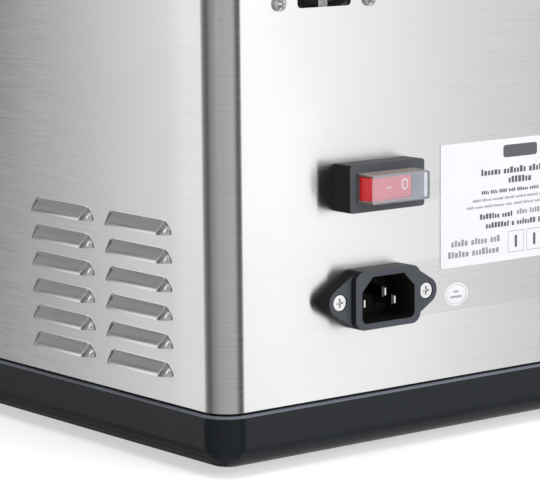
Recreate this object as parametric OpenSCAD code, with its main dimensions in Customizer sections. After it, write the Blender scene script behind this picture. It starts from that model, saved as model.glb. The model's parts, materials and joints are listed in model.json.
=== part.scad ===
// Box-type sous vide water bath: stainless wrap on a black base tray, drop-in tank, lift-off
// lid, bag rack, front controls, and a rear panel with fan vent, mains switch and inlet.
// +Z is up, the controls face -Y, and the feet stand on z = 0.

/* [Base tray] */
// Width of the base tray, left to right
base_w = 365; // [360:1:375]
// Depth of the base tray, front to rear
base_d = 295; // [292:1:305]
// Height of the base tray
base_h = 20; // [18:1:22]
// Plan radius of the base tray's corners
base_r = 11; // [10:1:14]
// Radius of the rounding under the base tray's edge
base_round = 8; // [5:1:8]
// Wall of the base tray
base_wall = 2.5; // [2:0.5:3]
// Height of the rubber feet
foot_h = 3; // [3:1:5]

/* [Stainless casing] */
// How far the base tray stands out past the steel
base_lip = 1; // [0.5:0.5:1]
// Height of the steel wrap
shell_h = 223; // [215:1:235]
// Outside radius of the wrap's vertical bends
shell_r = 10; // [8:1:10]
// Steel thickness
shell_t = 0.8; // [0.6:0.1:1]
// Height of the black top frame
frame_h = 8; // [7:1:10]

/* [Side louvres] */
// Rows in each column of louvres
louvre_rows = 6; // [2:1:7]
// Height of the lowest louvre's lip above the steel's lower edge
louvre_low = 9.4; // [9:0.2:12]
// Spacing of the rows
louvre_pitch = 10; // [9:0.5:12]
// Width of one louvre, end to end
louvre_w = 38.3; // [30:0.1:42]
// Distance of each column's middle from the rear corner
louvre_cols = [47.65, 94.9];
// Radius of the pressed hood
hood_r = 5.2; // [4.8:0.1:5.4]
// Depth of the hood's centre line behind the face of the steel
hood_sunk = 2; // [1.6:0.1:2.4]

/* [Tank] */
// Width of the tank, outside
tank_w = 310; // [300:1:312]
// Depth of the tank, front to rear, outside
tank_d = 220; // [210:1:222]
// Height of the tank inside
tank_h = 190; // [180:1:192]
// Plan radius of the tank's corners
tank_r = 20; // [18:1:26]
// Rounding between the tank's floor and its walls
tank_round = 12; // [8:1:14]
// Steel thickness of the tank
tank_t = 0.8; // [0.6:0.1:1]
// Width of the flange round the tank's mouth
flange_w = 12; // [11:0.5:12]

/* [Rear panel] */
// Height of the mains inlet's centre above the steel's lower edge
inlet_up = 34.5; // [33:0.5:36]
// Distance of the mains inlet's centre from the near corner
inlet_in = 68; // [60:0.5:72]
// Spacing of the inlet's two screws
inlet_pitch = 40; // [40:1:40]
// Height of the switch's centre above the steel's lower edge
switch_up = 74.4; // [74:0.2:78]
// Distance of the switch's centre from the near corner
switch_in = 66.8; // [60:0.2:72]
// Height of the fan's centre above the steel's lower edge
fan_up = 159.4; // [150:0.2:165]
// Distance of the fan's centre from the near corner
fan_in = 46.2; // [45:0.2:60]
// Side of the square fan
fan_w = 50; // [50:1:50]
// Spacing of the fan's screws
fan_pitch = 40; // [40:1:40]
// Thickness of the fan
fan_t = 15; // [15:1:15]
// Slots in the fan vent
vent_slots = 5; // [3:1:5]

/* [Controls] */
// Width of the front control panel
panel_w = 150; // [144:1:160]
// Height of the front control panel
panel_h = 64; // [60:1:70]
// Height of the control panel's centre above the floor
panel_z = 150; // [130:1:170]
// How far the control panel stands out of the steel
panel_out = 4; // [3:0.5:5]
// Spacing of the buttons
button_pitch = 24; // [20:1:26]
// Radius of a button
button_r = 6.2; // [5.5:0.1:6.6]
// Travel of a button
button_travel = 1; // [0.6:0.1:1]

/* [Lid and rack] */
// Height of the lid's pan
lid_h = 8; // [7:1:12]
// Height of the lid's handle above the lid
handle_h = 32; // [30:1:40]
// Dividers in the bag rack
dividers = 5; // [5:1:5]
// Radius of the rack's wire
wire_r = 1.5; // [1.2:0.1:2]

/* [Hidden] */
$fn = 64;

cut = 1;                               // how far a cutting shape runs past the face it cuts
shell_w = base_w - 2 * base_lip;
shell_d = base_d - 2 * base_lip;
steel_z = foot_h + base_h;             // lower edge of the steel
shell_top = steel_z + shell_h;
frame_top = shell_top + frame_h;
seal_t = 1.2;
tank_top = frame_top + seal_t + tank_t;
tank_floor = tank_top - tank_h;        // inside of the tank's floor
tank_under = tank_floor - tank_t;
tank_y = -2;                           // the tank sits a little forward, clear of the fan
mouth_gap = 4;                         // room between the tank and the top frame's opening
tray_floor = foot_h + base_wall;

// Rear fittings
face_y = shell_d / 2;                  // outside face of the rear steel
inside_y = face_y - shell_t;
inlet_x = shell_w / 2 - inlet_in;
inlet_z = steel_z + inlet_up;
switch_x = shell_w / 2 - switch_in;
switch_z = steel_z + switch_up;
fan_x = shell_w / 2 - fan_in;
fan_z = steel_z + fan_up;
switch_out = 9.2;                      // how far the switch's bezel stands out of the steel
cover_out = 7.8;                       // how far the clear cover stands out of the bezel
guard_t = 0.8;
fan_y = inside_y - guard_t;            // rear face of the fan

// Front fittings
panel_y = -face_y - panel_out;         // front face of the control panel
panel_back = 3.5;                      // how far the panel's back reaches inside the steel
button_out = 1.2;                      // how far a button stands out of the panel
button_row = panel_z - 16;
board_t = 1.6;
board_gap = 9;                         // from the panel's back to the control board
panel_back_y = -face_y + panel_back;
board_y = panel_back_y + board_gap;
screen_w = 54;
screen_h = 24;
screen_z = panel_z + 12;

// The casing is shifted so that the whole object is centred over the origin
rear_out = face_y + switch_out + cover_out;
front_out = -panel_y + button_out;
case_y = (front_out - rear_out) / 2;

// Chassis
plate_z = 10.5;                        // top of the tray's bosses
plate_t = 1;
plate_top = plate_z + plate_t;
foot_x = base_w / 2 - 27;
foot_y = base_d / 2 - 27;
foot_screw_r = 2;
clear = 0.15;                          // clearance round a screw
nut_h = 3.2;
small_nut_h = 2.4;
small_nut_w = 5.5;                     // across the flats

module in_case() translate([0, case_y, 0]) children();

module four(x, y) for (i = [-1, 1], j = [-1, 1]) translate([i * x, j * y, 0]) children();

// Turns a shape drawn upwards so that it points to the rear
module to_rear() rotate([-90, 0, 0]) children();

// Turns an outline drawn in X and Z, with its depth running from y = 0 to y = h
module plate_y(h) rotate([90, 0, 0]) translate([0, 0, -h]) linear_extrude(h) children();

module outline(w, d, r) {
    square([w - 2 * r, d], center = true);
    square([w, d - 2 * r], center = true);
    for (x = [-1, 1], y = [-1, 1]) translate([x * (w / 2 - r), y * (d / 2 - r)]) circle(r);
}

module slab(w, d, h, r) linear_extrude(h) outline(w, d, r);

module ring(w, d, h, r, t) linear_extrude(h) difference() {
    outline(w, d, r);
    outline(w - 2 * t, d - 2 * t, r - t);
}

// Section of a slab whose lower edges are rounded by e
module edge_section(half, h, e) {
    translate([-half, e]) square([2 * half, h - e]);
    translate([e - half, 0]) square([2 * (half - e), h]);
    for (s = [-1, 1]) translate([s * (half - e), e]) circle(e);
}

// Slab with plan corners of radius r and a rounded lower edge
module soft_slab(w, d, h, r, e) {
    four(w / 2 - r, d / 2 - r) rotate_extrude() intersection() {
        edge_section(r, h, e);
        square([r + cut, h + cut]);
    }
    translate([r - w / 2, 0, 0]) rotate([90, 0, 90])
        linear_extrude(w - 2 * r) edge_section(d / 2, h, e);
    translate([0, d / 2 - r, 0]) rotate([90, 0, 0])
        linear_extrude(d - 2 * r) edge_section(w / 2, h, e);
}

// The same with the rounded edge on top
module soft_cap(w, d, h, r, e) translate([0, 0, h]) mirror([0, 0, 1]) soft_slab(w, d, h, r, e);

module hex_nut(across, h, bore) difference() {
    cylinder(h = h, r = across / 2 / cos(30), $fn = 6);
    translate([0, 0, -cut]) cylinder(h = h + 2 * cut, r = bore);
}

// Cross recess cut into the top of a screw head
module cross(size, depth) for (a = [0, 90]) rotate(a)
    translate([-size / 2, -size / 9, -depth]) cube([size, size / 4.5, depth + cut]);

// Round-headed screw: head above z = 0, shank below
module pan_screw(head_r, head_h, shank_r, length) difference() {
    union() {
        translate([0, 0, -length]) cylinder(h = length + head_h / 4, r = shank_r);
        intersection() {
            cylinder(h = head_h, r = head_r);
            translate([0, 0, head_h - 1.6 * head_r]) sphere(1.6 * head_r);
        }
    }
    translate([0, 0, head_h]) cross(head_r, head_h * 0.6);
}

// Chain of straight round legs with ball corners
module wire(points, r) {
    for (i = [0 : len(points) - 2]) leg(points[i], points[i + 1], r);
    for (i = [1 : 1 : len(points) - 2]) translate(points[i]) sphere(r * 1.03);
}

module leg(a, b, r) {
    v = b - a;
    long = norm(v);
    translate(a) rotate([0, acos(v.z / long), atan2(v.y, v.x)]) cylinder(h = long, r = r);
}

// ---------------------------------------------------------------- base

module base_tray() in_case() color("#20262a") difference() {
    union() {
        difference() {
            translate([0, 0, foot_h]) soft_slab(base_w, base_d, base_h, base_r, base_round);
            translate([0, 0, tray_floor]) soft_slab(base_w - 2 * base_wall,
                base_d - 2 * base_wall, base_h, base_r - base_wall, base_round - base_wall);
        }
        four(foot_x, foot_y) translate([0, 0, foot_h]) cylinder(h = plate_z - foot_h, r = 6);
    }
    four(foot_x, foot_y) translate([0, 0, foot_h - cut])
        cylinder(h = plate_z, r = foot_screw_r + clear);
    // Air slots under the tray
    for (x = [-6 : 6], y = [-1, 1])
        translate([x * 12, y * 70, foot_h - cut]) slab(5, 60, base_wall + 2 * cut, 2.4);
}

module rubber_feet() in_case() color("#151515") four(foot_x, foot_y) difference() {
    cylinder(h = foot_h, r1 = 8.5, r2 = 9.5);
    translate([0, 0, -cut]) cylinder(h = foot_h + 2 * cut, r = foot_screw_r + clear);
    translate([0, 0, -cut]) cylinder(h = cut + 2, r = 4.4);
}

module foot_screws() in_case() color("#b8babd") four(foot_x, foot_y)
    translate([0, 0, 2]) mirror([0, 0, 1])
        pan_screw(4, 1.6, foot_screw_r, plate_top + nut_h - 1);

module foot_nuts() in_case() color("#b8babd") four(foot_x, foot_y)
    translate([0, 0, plate_top]) hex_nut(7, nut_h, foot_screw_r + clear);

module chassis_plate() in_case() color("#9aa0a3") translate([0, 0, plate_z]) difference() {
    slab(base_w - 12, base_d - 12, plate_t, 6);
    four(foot_x, foot_y) translate([0, 0, -cut])
        cylinder(h = plate_t + 2 * cut, r = foot_screw_r + clear);
    for (x = [-6 : 6], y = [-1, 1])
        translate([x * 12, y * 70, -cut]) slab(6, 56, plate_t + 2 * cut, 2.8);
}

// Z-shaped steel brackets that hold the wrap to the chassis plate
module corner_brackets() in_case() color("#9aa0a3")
    for (i = [-1, 1], j = [-1, 1]) translate([0, j * 112, 0]) mirror([i < 0 ? 1 : 0, 0, 0]) {
        inner = shell_w / 2 - shell_t;
        translate([inner - 20, -10, plate_top]) cube([18, 20, 1.2]);
        translate([inner - 3.2, -10, plate_top]) cube([1.2, 20, 30]);
        translate([inner - 2.1, -10, steel_z + 4]) cube([2.1, 20, 12]);
    }

// ---------------------------------------------------------------- steel wrap

function lip_z(row) = steel_z + louvre_low + row * louvre_pitch;

// One pressed hood on the +X side, as a lying capsule cut off at its lip and at the inside face
module hood(r) difference() {
    half = louvre_w / 2 - sqrt(pow(hood_r, 2) - pow(hood_sunk, 2));
    translate([-hood_sunk, 0, 0]) {
        rotate([90, 0, 0]) cylinder(h = 2 * half, r = r, center = true);
        for (s = [-1, 1]) translate([0, s * half, 0]) sphere(r);
    }
    translate([-2 * hood_r, -louvre_w, -2 * hood_r]) cube([4 * hood_r, 2 * louvre_w, 2 * hood_r]);
    translate([-2 * hood_r - shell_t, -louvre_w, -hood_r])
        cube([2 * hood_r, 2 * louvre_w, 3 * hood_r]);
}

module hoods(r) for (side = [0, 1], col = louvre_cols, row = [0 : louvre_rows - 1])
    mirror([side, 0, 0]) translate([shell_w / 2, face_y - col, lip_z(row)]) hood(r);

// Slots of the fan vent, each as wide as the round vent is at its farther edge
module vent() {
    reach = 25;
    low = 22;
    slot = 6.3;
    step = (2 * low - slot) / (vent_slots - 1);
    for (i = [0 : vent_slots - 1]) {
        z = i * step - low + slot / 2;
        half = sqrt(pow(reach, 2) - pow(abs(z) + slot / 2, 2));
        translate([0, z]) outline(2 * half, slot, 1.5);
    }
}

module inlet_opening(grow) outline(27.4 + 2 * grow, 19.8 + 2 * grow, 3);
module switch_opening(grow) outline(28 + 2 * grow, 12.4 + 2 * grow, 1);
module panel_opening(grow) outline(panel_w - 10 + 2 * grow, panel_h - 10 + 2 * grow, 4);

module body_shell() in_case() color("#c9ccd0") difference() {
    union() {
        translate([0, 0, steel_z]) ring(shell_w, shell_d, shell_h, shell_r, shell_t);
        hoods(hood_r);
    }
    hoods(hood_r - shell_t);
    translate([fan_x, face_y - 5, fan_z]) plate_y(10) vent();
    translate([fan_x, face_y - 5, fan_z]) to_rear() four(fan_pitch / 2, fan_pitch / 2)
        cylinder(h = 10, r = fan_screw_r + clear);
    translate([inlet_x, face_y - 5, inlet_z]) plate_y(10) inlet_opening(clear);
    for (s = [-1, 1]) translate([inlet_x + s * inlet_pitch / 2, face_y - 5, inlet_z])
        to_rear() cylinder(h = 10, r = 1.7);
    translate([switch_x, face_y - 5, switch_z]) plate_y(10) switch_opening(clear);
    translate([0, -face_y - 5, panel_z]) plate_y(10) panel_opening(clear);
}

// Black frame round the tank's mouth, with a skirt inside the steel
module top_frame() in_case() color("#20262a") difference() {
    union() {
        translate([0, 0, shell_top]) soft_cap(base_w, base_d, frame_h, base_r, 3);
        translate([0, 0, shell_top - 12]) ring(shell_w - 2 * shell_t - 0.6,
            shell_d - 2 * shell_t - 0.6, 12.5, shell_r - shell_t - 0.3, 2);
    }
    translate([0, tank_y, shell_top - cut]) slab(tank_w + 2 * mouth_gap, tank_d + 2 * mouth_gap,
        frame_h + 2 * cut, tank_r + mouth_gap);
}

// ---------------------------------------------------------------- tank and heater

module water_tank() in_case() color("#d3d6d9") translate([0, tank_y, 0]) difference() {
    union() {
        translate([0, 0, tank_under])
            soft_slab(tank_w, tank_d, tank_h + tank_t, tank_r, tank_round);
        translate([0, 0, tank_top - tank_t]) slab(tank_w + 2 * flange_w,
            tank_d + 2 * flange_w, tank_t, tank_r + flange_w);
    }
    translate([0, 0, tank_floor]) soft_slab(tank_w - 2 * tank_t, tank_d - 2 * tank_t,
        tank_h + cut, tank_r - tank_t, tank_round - tank_t);
}

module tank_seal() in_case() color("#d8d4c8") translate([0, tank_y, frame_top])
    ring(tank_w + 2 * flange_w - 2, tank_d + 2 * flange_w - 2, seal_t, tank_r + flange_w - 1, 6);

module tank_insulation() in_case() color("#8d9296") translate([0, tank_y, tank_floor + 14])
    ring(tank_w + 10.6, tank_d + 10.6, 156, tank_r + 5.3, 5);

plate_w = 236;
plate_d = 150;
film_w = 220;
film_d = 130;
heat_t = 4;
film_t = 1.2;
heat_z = tank_under - heat_t;
film_z = heat_z - film_t;
clamp_t = 1.5;
stud_x = 127;
stud_y = 60;
stud_r = 2.5;

module tank_studs() in_case() color("#b8babd") translate([0, tank_y, 0])
    four(stud_x, stud_y) translate([0, 0, tank_under - 14]) cylinder(h = 14, r = stud_r);

module heater_plate() in_case() color("#b5b9bc")
    translate([0, tank_y, heat_z]) slab(plate_w, plate_d, heat_t, 8);

module heater_film() in_case() color("#b5562b") translate([0, tank_y, film_z]) {
    slab(film_w, film_d, film_t, 6);
    for (s = [-1, 1]) translate([s * 8 + 84, -film_d / 2 - 6, 0]) cube([6, 8, film_t]);
}

module heater_clamp() in_case() color("#8f9599") translate([0, tank_y, film_z - clamp_t])
    difference() {
        union() {
            for (s = [-1, 1]) translate([0, s * stud_y, 0]) slab(2 * stud_x + 18, 18, clamp_t, 5);
            slab(20, 2 * stud_y + 10, clamp_t, 5);
        }
        four(stud_x, stud_y) translate([0, 0, -cut])
            cylinder(h = clamp_t + 2 * cut, r = stud_r + clear);
    }

module heater_nuts() in_case() color("#b8babd") translate([0, tank_y, film_z - clamp_t - 4])
    four(stud_x, stud_y) hex_nut(8, 4, stud_r + clear);

sensor_r = 2.5;

module tank_sensor() in_case() color("#c9ccd0")
    translate([-134, tank_y - 16, tank_under - sensor_r]) to_rear() {
        cylinder(h = 30, r = sensor_r);
        translate([0, 0, 30]) sphere(sensor_r);
    }

module sensor_clip() in_case() color("#8f9599")
    translate([-134, tank_y, tank_under]) difference() {
        translate([-7, -5, -7]) cube([14, 10, 7]);
        translate([0, -5 - cut, -sensor_r]) to_rear() cylinder(h = 12, r = sensor_r + clear);
        translate([-sensor_r, -5 - cut, -sensor_r]) cube([2 * sensor_r, 12, sensor_r + cut]);
    }

module thermal_cutout() in_case() color("#3b3d40") translate([60, tank_y, film_z]) {
    translate([0, 0, -1.5]) cylinder(h = 1.5, r = 8);
    translate([0, 0, -9.5]) cylinder(h = 8, r = 7.6);
    for (s = [-1, 1]) translate([s * 4 - 0.4, -3.15, -16.5]) cube([0.8, 6.3, 7]);
}

// ---------------------------------------------------------------- chassis electrics

board_x = 62;
board_mid_y = 44;
board_w = 120;
board_d = 80;
spacer_h = 6;
power_z = plate_top + spacer_h;
power_top = power_z + board_t;

module power_board() in_case() color("#1f5b3a") translate([board_x, board_mid_y, power_z])
    difference() {
        slab(board_w, board_d, board_t, 2);
        four(board_w / 2 - 5, board_d / 2 - 5) translate([0, 0, -cut])
            cylinder(h = board_t + 2 * cut, r = 1.6);
    }

// Spacers with a snap tip through the board
module board_spacers() in_case() color("#e8e6df")
    translate([board_x, board_mid_y, plate_top]) four(board_w / 2 - 5, board_d / 2 - 5) {
        cylinder(h = spacer_h, r = 3);
        cylinder(h = spacer_h + board_t + 1.5, r = 1.5);
    }

// Transformer, relay, heat sink, fuse holder and capacitors
module board_parts() in_case() translate([board_x, board_mid_y, power_top]) {
    color("#30343a") translate([20, -6, 0]) cube([34, 34, 27]);
    color("#2a62a8") translate([-40, 12, 0]) cube([19, 16, 15]);
    color("#a6abae") translate([-46, -30, 0]) for (i = [0 : 5])
        translate([i * 5, 0, 0]) cube([1.5, 22, 18]);
    color("#a6abae") translate([-46, -30, 0]) cube([26.5, 22, 2.5]);
    color("#d9d6cf") translate([-12, 24, 0]) cube([24, 8, 9]);
    color("#26282b") for (i = [0 : 2]) translate([i * 13 - 6, -24, 0]) cylinder(h = 16, r = 5);
}

block_x = 146;
block_y = 62;

module terminal_block() in_case() color("#e8e6df") translate([block_x, block_y, plate_top])
    difference() {
        translate([-8, -18, 0]) cube([16, 36, 14]);
        for (i = [-1 : 1]) {
            translate([0, i * 11, 8]) cylinder(h = 10, r = 2.6);
            translate([-9, i * 11 - 2.5, 3]) cube([18, 5, 3.5]);
        }
    }

// Insulated leads from the inlet to the switch and down to the terminal block
module mains_wiring() in_case() {
    color("#7b4a26") wire([[inlet_x - 7, 121.5, inlet_z - 2], [inlet_x - 7, 117.5, inlet_z - 2],
        [inlet_x - 7, 117.5, switch_z - 14], [switch_x - 8, 115.6, switch_z - 3]], 1.1);
    color("#2f6fb5") wire([[inlet_x + 7, 121.5, inlet_z - 2], [inlet_x + 7, 117.5, inlet_z - 2],
        [inlet_x + 7, 117.5, switch_z - 14], [switch_x + 8, 115.6, switch_z - 3]], 1.1);
    color("#5aa04a") wire([[inlet_x, 121.5, inlet_z + 2], [inlet_x, 118.5, inlet_z + 2],
        [inlet_x, 118.5, 30], [block_x, 90, 30], [block_x, 84, plate_top + 5],
        [block_x, 80, plate_top + 5]], 1.1);
}

// ---------------------------------------------------------------- front controls

button_x = [for (i = [-2 : 2]) i * button_pitch];
button_hole = button_r + 0.3;

module control_panel() in_case() color("#24272a") {
    difference() {
        union() {
            translate([0, panel_y, panel_z]) plate_y(panel_out) outline(panel_w, panel_h, 8);
            translate([0, -face_y, panel_z]) plate_y(panel_back) panel_opening(0);
        }
        translate([0, panel_y - cut, screen_z])
            plate_y(2 + cut) outline(screen_w + 0.4, screen_h + 0.4, 2.2);
        translate([0, panel_y, screen_z])
            plate_y(panel_out + panel_back + cut) outline(screen_w - 4, screen_h - 4, 1);
        for (x = button_x) translate([x, panel_y - cut, button_row])
            to_rear() cylinder(h = panel_out + panel_back + 2 * cut, r = button_hole);
    }
    // Posts for the control board
    for (i = [-1, 1], j = [-1, 1])
        translate([i * 62, panel_back_y, panel_z + j * 20]) to_rear() difference() {
            translate([0, 0, -cut]) cylinder(h = board_gap + cut, r = 3);
            translate([0, 0, 2]) cylinder(h = board_gap, r = 1.25);
        }
}

module display_lens() in_case() color("#5d1a1d", 0.6)
    translate([0, panel_y + 0.2, screen_z]) plate_y(1.8) outline(screen_w, screen_h, 2);

module display_module() in_case() color("#101214") {
    translate([0, board_y - 6, screen_z]) plate_y(6) outline(46, 17, 0.8);
    translate([0, board_y - 6, screen_z]) for (i = [-1.5 : 1.5])
        translate([i * 11 - 3.5, -0.4, -6.5]) cube([7, 0.5, 13]);
}

module control_board() in_case() color("#1f5b3a")
    translate([0, board_y, panel_z]) plate_y(board_t) difference() {
        outline(132, 48, 2);
        for (i = [-1, 1], j = [-1, 1]) translate([i * 62, j * 20]) circle(1.6);
    }

module board_screws() in_case() color("#b8babd") for (i = [-1, 1], j = [-1, 1])
    translate([i * 62, board_y + board_t, panel_z + j * 20])
        to_rear() pan_screw(2.6, 1.6, 1.2, 7);

module button_contacts() in_case() color("#3a3d42") for (x = button_x)
    translate([x, board_y - 3.5, button_row]) {
        translate([-3, 0, -3]) cube([6, 3.5, 6]);
        translate([0, -0.5, 0]) to_rear() cylinder(h = 0.6, r = 1.7);
    }

// Cap, retaining flange behind the panel, and the stem that works the contact
module button(index) in_case() color("#3c4044")
    translate([button_x[index], panel_y - button_out, button_row]) to_rear() {
        through = button_out + panel_out + panel_back;
        translate([0, 0, 0.6]) cylinder(h = through, r = button_r);
        cylinder(h = 0.6, r1 = button_r - 0.6, r2 = button_r);
        translate([0, 0, through + 0.3]) cylinder(h = 1, r = button_r + 1.6);
        translate([0, 0, through + 1.2]) cylinder(h = 2.5, r = 2);
    }

module button_power() button(0);
module button_mode() button(1);
module button_timer() button(2);
module button_minus() button(3);
module button_plus() button(4);

// ---------------------------------------------------------------- fan

duct_r = 23.5;
hub_r = 11;
shaft_r = 1.5;
stator_t = 2.5;
fan_screw_r = 1.5;

// Square housing; its struts and bearing tube are on the rear side
module fan_frame() in_case() color("#191b1d")
    translate([fan_x, fan_y - fan_t, fan_z]) to_rear() {
        linear_extrude(fan_t - stator_t) fan_section();
        translate([0, 0, fan_t - stator_t]) linear_extrude(stator_t) {
            fan_section();
            circle(hub_r);
            for (a = [45, 135]) rotate(a) square([2 * duct_r + 2, 3], center = true);
        }
        translate([0, 0, 4]) linear_extrude(fan_t - 4 - stator_t) difference() {
            circle(3);
            circle(shaft_r + 0.05);
        }
    }

module fan_section() difference() {
    outline(fan_w, fan_w, 4);
    circle(duct_r);
    for (i = [-1, 1], j = [-1, 1])
        translate([i * fan_pitch / 2, j * fan_pitch / 2]) circle(fan_screw_r + clear);
}

module fan_stator() in_case() color("#b5702f")
    translate([fan_x, fan_y - fan_t + 5.5, fan_z]) to_rear() difference() {
        cylinder(h = 6, r = 8);
        translate([0, 0, -cut]) cylinder(h = 8, r = 3 + clear);
        for (a = [0 : 90 : 270]) rotate(a) translate([4.5, -0.8, -cut]) cube([5, 1.6, 8]);
    }

module fan_rotor() in_case() color("#222426")
    translate([fan_x, fan_y - fan_t + 0.8, fan_z]) to_rear() {
        difference() {
            cylinder(h = fan_t - stator_t - 1.3, r = hub_r);
            translate([0, 0, 2]) cylinder(h = fan_t, r = hub_r - 1.8);
        }
        cylinder(h = fan_t - stator_t - 1.5, r = shaft_r);
        for (i = [0 : 6]) rotate(i * 360 / 7) intersection() {
            translate([hub_r - 1, 0, 5.4]) rotate([38, 0, 0])
                translate([0, -6.5, -0.5]) cube([12.3, 13, 1]);
            difference() {
                cylinder(h = 10.8, r = 22.6);
                translate([0, 0, -cut]) cylinder(h = 13, r = hub_r - 0.4);
            }
        }
    }

module fan_guard() in_case() color("#9a9da0")
    translate([fan_x, fan_y, fan_z]) plate_y(guard_t) {
        difference() {
            outline(fan_w, fan_w, 4);
            circle(24.4);
            for (i = [-1, 1], j = [-1, 1])
                translate([i * fan_pitch / 2, j * fan_pitch / 2]) circle(fan_screw_r + clear);
        }
        square([4, fan_w - 1], center = true);
        square([fan_w - 1, 4], center = true);
    }

module fan_screws() in_case() color("#c4c6c8") translate([fan_x, face_y, fan_z]) to_rear()
    four(fan_pitch / 2, fan_pitch / 2) pan_screw(2.6, 1.9, fan_screw_r, fan_t + 6);

module fan_nuts() in_case() color("#b8babd")
    translate([fan_x, fan_y - fan_t - small_nut_h, fan_z]) to_rear()
        four(fan_pitch / 2, fan_pitch / 2) hex_nut(small_nut_w, small_nut_h, fan_screw_r + clear);

// ---------------------------------------------------------------- mains inlet

ear_out = 5.6;
inlet_out = 8.2;
ear_r = 4.9;
boss_w = 30;
boss_h = 20.9;
boss_r = 4;                            // radius of the boss's corners
cavity_w = 24.3;
cavity_h = 16.4;
cavity_depth = 16.2;
cavity_corner = 5;                     // leg of the corners cut off at the top

// Direction square to the line that lies against circles (c1, r1) and (c2, r2); side is 1 or -1
function across(c1, r1, c2, r2, side) =
    let (v = c2 - c1, a = atan2(v.y, v.x) + side * acos((r1 - r2) / norm(v)))
    [cos(a), sin(a)];

// Flange with one tapering ear each side, whose straight edges lie against the boss's corners
module flange_outline() for (s = [-1, 1]) mirror([s < 0 ? 1 : 0, 0]) {
    ear = [inlet_pitch / 2, 0];
    top = [boss_w / 2 - boss_r, boss_h / 2 - boss_r];
    low = [top.x, -top.y];
    up = across(top, boss_r, ear, ear_r, 1);
    down = [up.x, -up.y];
    translate(ear) circle(ear_r);
    polygon([[0, top.y + boss_r], top + [0, boss_r], top + boss_r * up, ear + ear_r * up, ear,
        ear + ear_r * down, low + boss_r * down, low - [0, boss_r], [0, low.y - boss_r]]);
}

// Mouth with two corners cut off at the top, as on the plug that fits it
module socket_mouth() difference() {
    outline(cavity_w, cavity_h, 2.2);
    for (s = [-1, 1]) translate([s * cavity_w / 2, cavity_h / 2]) rotate(45)
        square(cavity_corner * sqrt(2), center = true);
}

module inlet_housing() in_case() color("#2a2d31") difference() {
    translate([inlet_x, 0, inlet_z]) {
        translate([0, face_y, 0]) plate_y(ear_out) flange_outline();
        translate([0, face_y, 0]) plate_y(inlet_out) outline(boss_w, boss_h, boss_r);
        translate([0, face_y - 13, 0]) plate_y(14) inlet_opening(0);
    }
    translate([inlet_x, face_y + inlet_out - cavity_depth, inlet_z])
        plate_y(cavity_depth + cut) socket_mouth();
    for (s = [-1, 1]) translate([inlet_x + s * inlet_pitch / 2, face_y, inlet_z]) to_rear() {
        translate([0, 0, -cut]) cylinder(h = ear_out + 2 * cut, r = 1.5 + clear);
        translate([0, 0, ear_out - 1.75]) cylinder(h = 1.75, r1 = 1.5 + clear, r2 = 3.1);
        translate([0, 0, ear_out]) cylinder(h = 2, r = 3.1);
    }
    for (p = pin_places) translate([inlet_x + p.x, face_y - 14, inlet_z + p.y])
        translate([-1 - 0.02, 0, -2 - 0.02]) cube([2.04, 10, 4.04]);
}

// Each pin's place, and how far its tip stands out of the steel; the earth pin is the longest
pin_places = [[-7, -2, 3.4], [0, 2, 6.4], [7, -2, 3.4]];

// Three flat blades with solder tabs behind the housing
module inlet_pins() in_case() color("#d9dadb") for (p = pin_places)
    translate([inlet_x + p.x, 0, inlet_z + p.y]) {
        translate([-1, face_y - 13.5, -2]) cube([2, 13.5 + p.z, 4]);
        translate([-0.4, face_y - 24, -1.6]) cube([0.8, 11, 3.2]);
    }

module inlet_screws() in_case() color("#d9dadb") for (s = [-1, 1])
    translate([inlet_x + s * inlet_pitch / 2, face_y + ear_out - 0.3, inlet_z]) to_rear()
        difference() {
            union() {
                translate([0, 0, -1.35]) cylinder(h = 1.35, r1 = 1.5, r2 = 2.85);
                translate([0, 0, -10.5]) cylinder(h = 9.2, r = 1.5);
            }
            cross(3, 0.9);
        }

module inlet_nuts() in_case() color("#b8babd") for (s = [-1, 1])
    translate([inlet_x + s * inlet_pitch / 2, inside_y - small_nut_h, inlet_z])
        to_rear() hex_nut(small_nut_w, small_nut_h, 1.5 + clear);

// ---------------------------------------------------------------- mains switch

bezel_w = 34.2;
bezel_h = 16.8;
well_w = 23.4;
well_h = 9.4;
well_in = 0.8;                         // how far the well sits towards the near corner
rocker_r = 11.4;                       // the rocker's round ends, about its pivot
rocker_w = 8.6;
pivot_out = 6;                         // the pivot's distance out of the steel
crown = 6.4;                           // from the pivot to the rocker's pressing faces
tilt = 12;                             // the rocker rests this far to one side
trunnion_r = 1.5;

module switch_housing() in_case() color("#2a2d31")
    translate([switch_x, face_y, switch_z]) difference() {
        union() {
            plate_y(switch_out) outline(bezel_w, bezel_h, 1.2);
            translate([0, -22, 0]) plate_y(22.5) switch_opening(0);
        }
        translate([well_in, -3, 0]) plate_y(switch_out + 4) outline(well_w, well_h, 0.8);
        translate([well_in, pivot_out, 0]) cylinder(h = well_h + 2.6, r = trunnion_r + 0.05, center = true);
    }

// Drawn level about its pivot, then tilted to rest with the end farther from the corner pressed in
module switch_rocker() in_case() color("#c4161c", 0.9)
    translate([switch_x + well_in, face_y + pivot_out, switch_z]) rotate(tilt) {
        translate([0, 0, -rocker_w / 2]) linear_extrude(rocker_w) intersection() {
            circle(rocker_r);
            polygon([[-rocker_r, -5], [rocker_r, -5], [rocker_r, crown + 0.4], [0, crown - 0.6],
                [-rocker_r, crown + 0.4]]);
        }
        cylinder(h = well_h + 2, r = trunnion_r, center = true);
    }

// Clear splash cover over the rocker
module switch_cover() in_case() color("#e8f0f2", 0.35)
    translate([switch_x + well_in, face_y + switch_out, switch_z + 0.2]) difference() {
        plate_y(cover_out) outline(27.4, 10.8, 1.2);
        translate([0, -cut, 0]) plate_y(cover_out - 0.8 + cut) outline(25.8, 9.2, 0.6);
    }

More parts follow.
